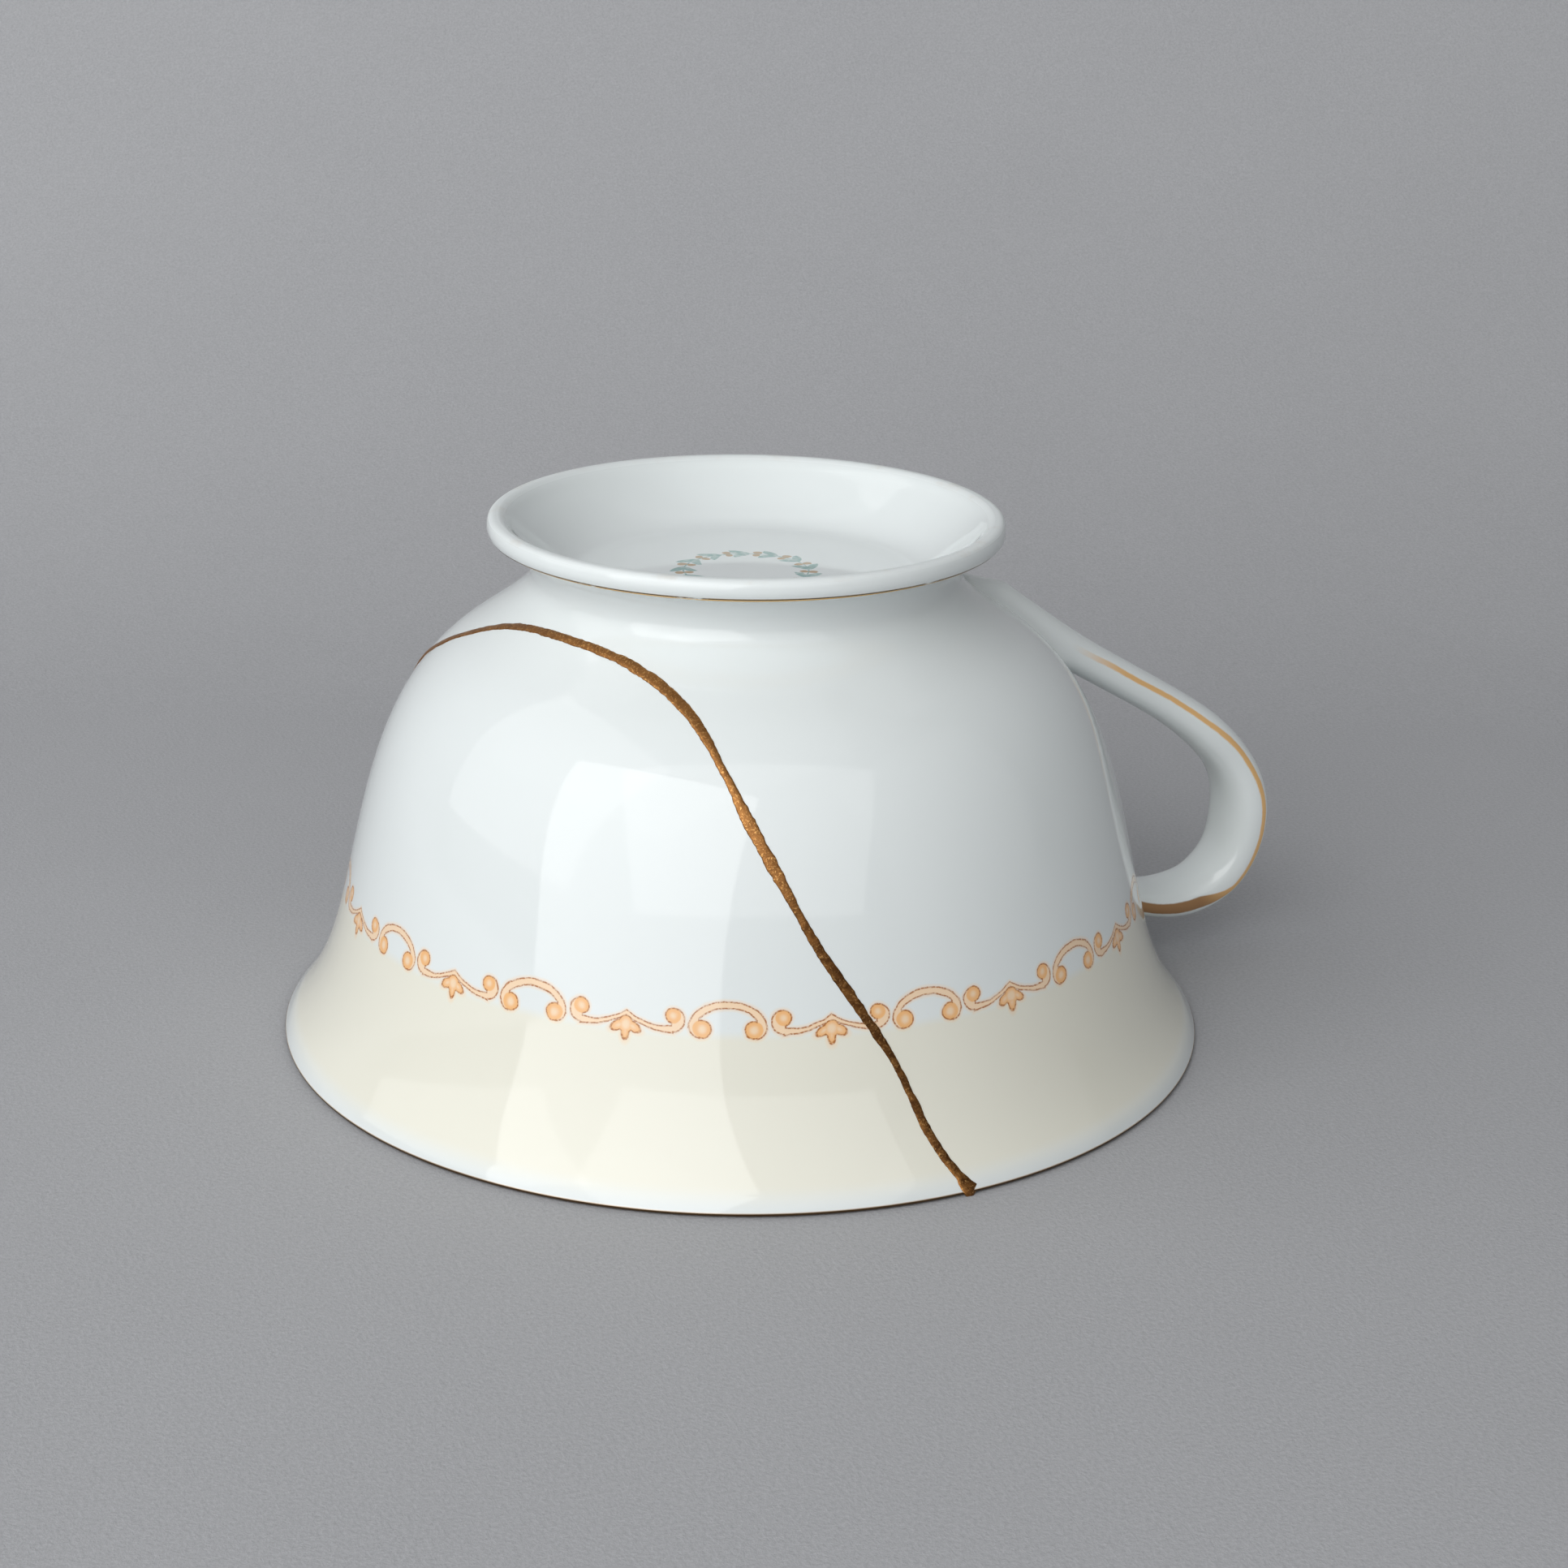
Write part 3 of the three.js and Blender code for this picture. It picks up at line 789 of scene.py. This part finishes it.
def scroll_border_group():
    """The printed border, drawn in millimetres: arches on curled feet, and swags with a leaf under the peak."""
    tree, (turn, radius, height) = new_group(
        "scroll_border", {"Turn": 0, "Radius": 43, "Height": 17}, ("Outline", "Fill", "Curl", "Halo"))
    spot = object_place(tree)
    shake = (read_noise(tree, spot, 900) - 0.5) * 0.22
    sway = (read_noise(tree, spot, 260) - 0.5) * 0.3
    up = (height - BORDER_HEIGHT) * 1.04 + shake
    way_round = (BORDER_START - turn) % 360
    arc = radius * math.radians(1)

    def beside(middle):
        """How far to the side of the nearest repeat of a shape, in millimetres."""
        return abs((way_round + (BORDER_STEP / 2 - middle)) % BORDER_STEP - BORDER_STEP / 2) * arc

    swag_side = beside(SWAG_PLACE) + shake + sway
    arch_side = beside(SWAG_PLACE + BORDER_STEP / 2) + shake - sway

    def disc(side, across, above, size):
        return distance(side - across, up - above) - size

    # The arch is a flattened ring, with the distance to it put right where it is flattened.
    wide, tall = 3.4, 2.32
    above = up - 1.0
    oval = distance(arch_side / wide, above / tall)
    slope = distance(arch_side / wide ** 2, above / tall ** 2)
    hoop = abs((oval - 1) * oval / slope.most(0.01)) - 0.33
    arch = hoop.most(0.95 - up)
    foot = disc(arch_side, 2.5, 0.88, 0.86)
    heel = disc(arch_side, 2.64, 1.04, 1.06).most(2.75 - arch_side)
    arch = arch.least(foot).least(heel)
    # The swag hangs from a peak in the middle and ends in a large curl.
    middle = (3.7 - swag_side).most(0) ** 1.72 * 0.13 + 0.7
    thick = (swag_side - 1.8) ** 2 * 0.02 + 0.2
    ribbon = (abs(up - middle) - thick).most(swag_side - 4.7)
    knob = disc(swag_side, 4.64, 2.04, 0.76)
    curl = disc(swag_side, 4.62, 1.62, 1.18).most(4.5 - swag_side)
    swag = ribbon.least(knob).least(curl)
    # The leaf has a lobe that hangs down and one to each side.
    drop = (distance(swag_side / 0.42, (up - 0.1) / 0.8) - 1) * 0.42
    lobe = (distance((swag_side - 0.78) / 0.76, (up - 0.9 + swag_side * 0.34) / 0.5) - 1) * 0.5
    neck = (distance(swag_side / 0.8, (up - 0.78) / 0.84) - 1) * 0.8
    leaf = drop.least(lobe).least(neck)
    whole = arch.least(swag).least(leaf)

    inside_pattern = way_round.fall(*BORDER_END) * up.rise(-2, -1.5) * up.fall(4.5, 5)
    ring = foot.least(knob)
    dots = read_noise(tree, spot, 5200, 1.0).rise(0.38, 0.6) * 0.6 + 0.4
    line = abs(whole).least(abs(leaf) + 0.02).fall(0.05, 0.11) * dots
    curl_tone = ring.fall(-0.05, 0.1) * ring.rise(-0.75, -0.2)
    curl_tone = curl_tone + leaf.fall(-0.05, 0.1) * leaf.rise(-0.6, -0.1) * 0.9
    give(tree, Outline=line * inside_pattern, Fill=whole.fall(-0.05, 0.05) * inside_pattern,
         Curl=curl_tone.least(1) * inside_pattern, Halo=whole.fall(0.05, 0.45) * inside_pattern)
    return tree


def leaf_wreath_group():
    """A plain wreath of leaves with small berries, printed in the hollow of the foot."""
    tree, (turn, radius) = new_group("leaf_wreath", {"Turn": 0, "Radius": 7}, ("Leaf", "Berry"))
    spot = object_place(tree)
    shake = (read_noise(tree, spot, 700) - 0.5) * 0.7
    step = 360 / WREATH_LEAVES
    arc = (turn % step - step / 2) * (math.radians(1) * WREATH_RADIUS) + shake
    off = abs(radius - WREATH_RADIUS + shake * 0.5)
    slant = math.radians(38)
    along = arc * math.cos(slant) + off * math.sin(slant) - 0.9
    across = off * math.cos(slant) - arc * math.sin(slant)
    leaf = distance(along / 1.35, across / 0.5)
    berry = distance(arc + 1.2, off - 0.5)
    print_tone = read_noise(tree, spot, 1500, 3.0).rise(0.25, 0.6) * 0.5 + 0.5
    near = radius.fall(WREATH_RADIUS + 3, WREATH_RADIUS + 3.2)
    give(tree, Leaf=leaf.fall(0.85, 1.1).most(off.fall(0.06, 0.14)) * print_tone * near,
         Berry=berry.fall(0.42, 0.56) * near)
    return tree


def soft_band_group():
    """1 between two values, with soft edges."""
    tree, (value, start, end, soft) = new_group(
        "soft_band", {"Value": 0, "Start": 0, "End": 1, "Soft": 0.1}, ("Band",))
    after = ((value - start) / soft + 0.5).most(0).least(1)
    before = ((end - value) / soft + 0.5).most(0).least(1)
    give(tree, Band=after * before)
    return tree


def glaze_surface_group():
    """The glaze's own small unevenness: faint ripples, a few pinholes and dark flecks, and cloudy wear."""
    tree, (ripple_size,) = new_group("glaze_surface", {"Ripple": 1}, ("Height", "Fleck", "Wear"))
    spot = object_place(tree)
    ripples = read_noise(tree, spot, 70, 1.0) * 0.8 + read_noise(tree, spot, 900, 1.0) * 0.02
    cells = tree.nodes.new("ShaderNodeTexVoronoi")
    cells.inputs["Scale"].default_value = 130
    tree.links.new(spot, cells.inputs["Vector"])
    chance = tree.nodes.new("ShaderNodeSeparateColor")
    tree.links.new(cells.outputs["Color"], chance.inputs[0])
    chosen = Value(tree, chance.outputs["Red"]).rise(0.93, 0.935)
    fleck = Value(tree, cells.outputs["Distance"]).fall(0.008, 0.02) * chosen
    wear = read_noise(tree, spot, 160, 5.0, 0.65)
    give(tree, Height=(ripples - fleck * 0.05) * ripple_size, Fleck=fleck, Wear=wear)
    return tree


def metal_powder_group():
    """Metal powder strewn on lacquer: grains, thicker and thinner patches, and specks that catch light."""
    tree, (size,) = new_group("metal_powder", {"Grains": 1}, ("Height", "Patch", "Speck"))
    spot = object_place(tree)
    grain = read_noise(tree, spot, 4300, 3.0, 0.7)
    patch = read_noise(tree, spot, 1100, 4.0, 0.6)
    lumps = read_noise(tree, spot, 1800, 2.0)
    give(tree, Height=(grain * 0.75 + lumps * 0.4) * size, Patch=patch.rise(0.35, 0.65),
         Speck=grain.rise(0.52, 0.72))
    return tree


def paper_group():
    """Paper with a fine tooth and cloudy tone."""
    tree, (size,) = new_group("paper_tooth", {"Tooth": 1}, ("Height", "Tone"))
    spot = object_place(tree)
    tooth = read_noise(tree, spot, 2300, 3.0, 0.7)
    cloud = read_noise(tree, spot, 30, 3.0)
    give(tree, Height=tooth * size, Tone=(tooth - 0.5) * 0.95 + (cloud - 0.5) * 0.1 + 0.5)
    return tree


def tone(red, green, blue):
    """A colour from how it reads on a screen, 0 to 255."""
    def part(value):
        value = value / 255
        return value / 12.92 if value <= 0.04045 else ((value + 0.055) / 1.055) ** 2.4
    return (part(red), part(green), part(blue), 1)


def tint(tree, base, colour, mask):
    """Lays a colour over another where the mask is."""
    node = tree.nodes.new("ShaderNodeMix")
    node.data_type = "RGBA"
    wire(tree, mask, node.inputs["Factor"])
    wire(tree, base, node.inputs[6])
    wire(tree, colour, node.inputs[7])
    return Value(tree, node.outputs[2])


def bump(tree, height, strength, depth):
    node = tree.nodes.new("ShaderNodeBump")
    node.inputs["Strength"].default_value = strength
    node.inputs["Distance"].default_value = depth
    wire(tree, height, node.inputs["Height"])
    return Value(tree, node.outputs["Normal"])


def new_material(name):
    material = bpy.data.materials.new(name)
    material.use_nodes = True
    tree = material.node_tree
    return material, tree, tree.nodes["Principled BSDF"]


def read_attribute(tree, name):
    node = tree.nodes.new("ShaderNodeAttribute")
    node.attribute_name = name
    return Value(tree, node.outputs["Fac"])


def glazed_porcelain(cup_place):
    """White glaze with the cream band, the printed border and the gilt lines; the foot's edge is unglazed."""
    material, tree, shader = new_material("glazed_porcelain")
    spot = use(tree, cup_place)
    turn, radius, height = spot["Turn"], spot["Radius"], spot["Height"]
    band = soft_band_group()
    outside = read_attribute(tree, "outside").rise(0.4, 0.6)
    surface = use(tree, glaze_surface_group())
    border = use(tree, scroll_border_group(), Turn=turn, Radius=radius, Height=height)

    cream = height.rise(*CREAM_FOOT) * height.fall(*CREAM_TOP) * outside
    colour = tint(tree, tone(227, 233, 233), tone(231, 230, 217), cream)
    colour = tint(tree, colour, tone(246, 206, 158), border["Halo"] * outside * 0.4)
    colour = tint(tree, colour, tone(243, 213, 178), border["Fill"] * outside * 0.85)
    colour = tint(tree, colour, tone(238, 176, 104), border["Curl"] * outside * 0.75)
    colour = tint(tree, colour, tone(168, 100, 44), border["Outline"] * outside * 0.9)
    colour = tint(tree, colour, tone(120, 105, 95), surface["Fleck"] * 0.55)

    wreath = use(tree, leaf_wreath_group(), Turn=turn, Radius=radius)
    hollow = use(tree, band, Value=height, Start=RECESS_FLOOR[1] - 0.6, End=RECESS_FLOOR[1] + 0.6,
                 Soft=0.1)["Band"]
    colour = tint(tree, colour, tone(110, 158, 152), wreath["Leaf"] * hollow * 0.8)
    colour = tint(tree, colour, tone(176, 142, 92), wreath["Berry"] * hollow * 0.85)

    foot_line = use(tree, band, Value=height, Start=FOOT_LINE[0], End=FOOT_LINE[1], Soft=0.07)["Band"]
    foot_line = foot_line * radius.rise(25.9, 26.2)
    foot_worn = surface["Wear"].rise(0.3, 0.42)
    rim_line = use(tree, band, Value=height, Start=-0.5, End=0.5, Soft=0.1)["Band"] * radius.rise(48.9, 49.2)
    round_strap = read_attribute(tree, "round_strap")
    along_strap = read_attribute(tree, "along_strap")
    wander = (surface["Wear"] - 0.5) * 12
    lower = along_strap.rise(0.7, 0.81)
    strap_line = use(tree, band, Value=round_strap + wander, Start=lower * 9 + 61,
                     End=lower * 30 + 76, Soft=4)["Band"]
    strap_line = strap_line * along_strap.rise(0.18, 0.26)
    gilt = (foot_line * foot_worn).most(rim_line).most(strap_line * 0.9)
    gold = tint(tree, tone(255, 200, 122), tone(160, 108, 36), lower)
    gold = tint(tree, gold, tone(222, 172, 76), foot_line)
    dark = use(tree, band, Value=height, Start=FOOT_LINE[1] - 0.16, End=FOOT_LINE[1] + 1, Soft=0.05)["Band"]
    gold = tint(tree, gold, tone(72, 50, 20), (dark * foot_line).most(rim_line))
    colour = tint(tree, colour, gold, gilt)

    bare = use(tree, band, Value=height, Start=FOOT_HEIGHT - FOOT_GROUND, End=99, Soft=0.3)["Band"]
    stain = surface["Wear"].rise(0.5, 0.75) * bare
    colour = tint(tree, colour, tone(206, 198, 186), stain * 0.45)
    wire(tree, colour, shader.inputs["Base Color"])
    wire(tree, bare * 0.4 + gilt * 0.22 + 0.05, shader.inputs["Roughness"])
    wire(tree, gilt * 0.4, shader.inputs["Metallic"])
    wire(tree, bump(tree, surface["Height"], 0.12, 0.0004), shader.inputs["Normal"])
    return material


def gold_lacquer(cup_place):
    """Bronze-coloured metal powder on lacquer, satin, darker where the powder lies thin."""
    material, tree, shader = new_material("gold_lacquer")
    powder = use(tree, metal_powder_group())
    # Painted highlight: the powder is painted lighter, with brighter specks, over the shoulder, where the
    # lights' reflection lies.
    painted_sheen = use(tree, cup_place)["Height"].rise(*PAINTED_SHEEN_HEIGHTS)
    colour = tint(tree, tone(92, 57, 25), tone(136, 91, 46), powder["Patch"])
    colour = tint(tree, colour, tone(178, 124, 70), painted_sheen * 0.45)
    colour = tint(tree, colour, tone(236, 182, 112), powder["Speck"] * (painted_sheen * 0.15 + 0.75))
    wire(tree, colour, shader.inputs["Base Color"])
    shader.inputs["Metallic"].default_value = 0.85
    wire(tree, 0.37 - powder["Speck"] * 0.12, shader.inputs["Roughness"])
    wire(tree, bump(tree, powder["Height"], 0.6, 0.00012), shader.inputs["Normal"])
    return material


def grey_paper():
    material, tree, shader = new_material("grey_paper")
    paper = use(tree, paper_group())
    wire(tree, tint(tree, tone(150, 151, 154), tone(190, 191, 194), paper["Tone"]), shader.inputs["Base Color"])
    shader.inputs["Roughness"].default_value = 0.9
    shader.inputs["Specular IOR Level"].default_value = 0.2
    wire(tree, bump(tree, paper["Height"], 0.35, 0.0003), shader.inputs["Normal"])
    return material


def paint(piece, material):
    piece.data.materials.clear()
    piece.data.materials.append(material)


body, shard = build_cup()
seam = lay_seam()
pick(seam)
bpy.ops.object.shade_smooth()
cup_place = cup_place_group()
porcelain = glazed_porcelain(cup_place)
paint(body, porcelain)
paint(shard, porcelain)
paint(seam, gold_lacquer(cup_place))
paint(lay_floor(), grey_paper())

for piece, node, slot in ((body, "cup_body", "porcelain"), (shard, "rejoined_shard", "porcelain"),
                          (seam, "gold_seam", "gold_lacquer")):
    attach(piece, "root")
    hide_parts(node)
set_camera()
set_lights()
bpy.context.scene.view_settings.view_transform = "Standard"
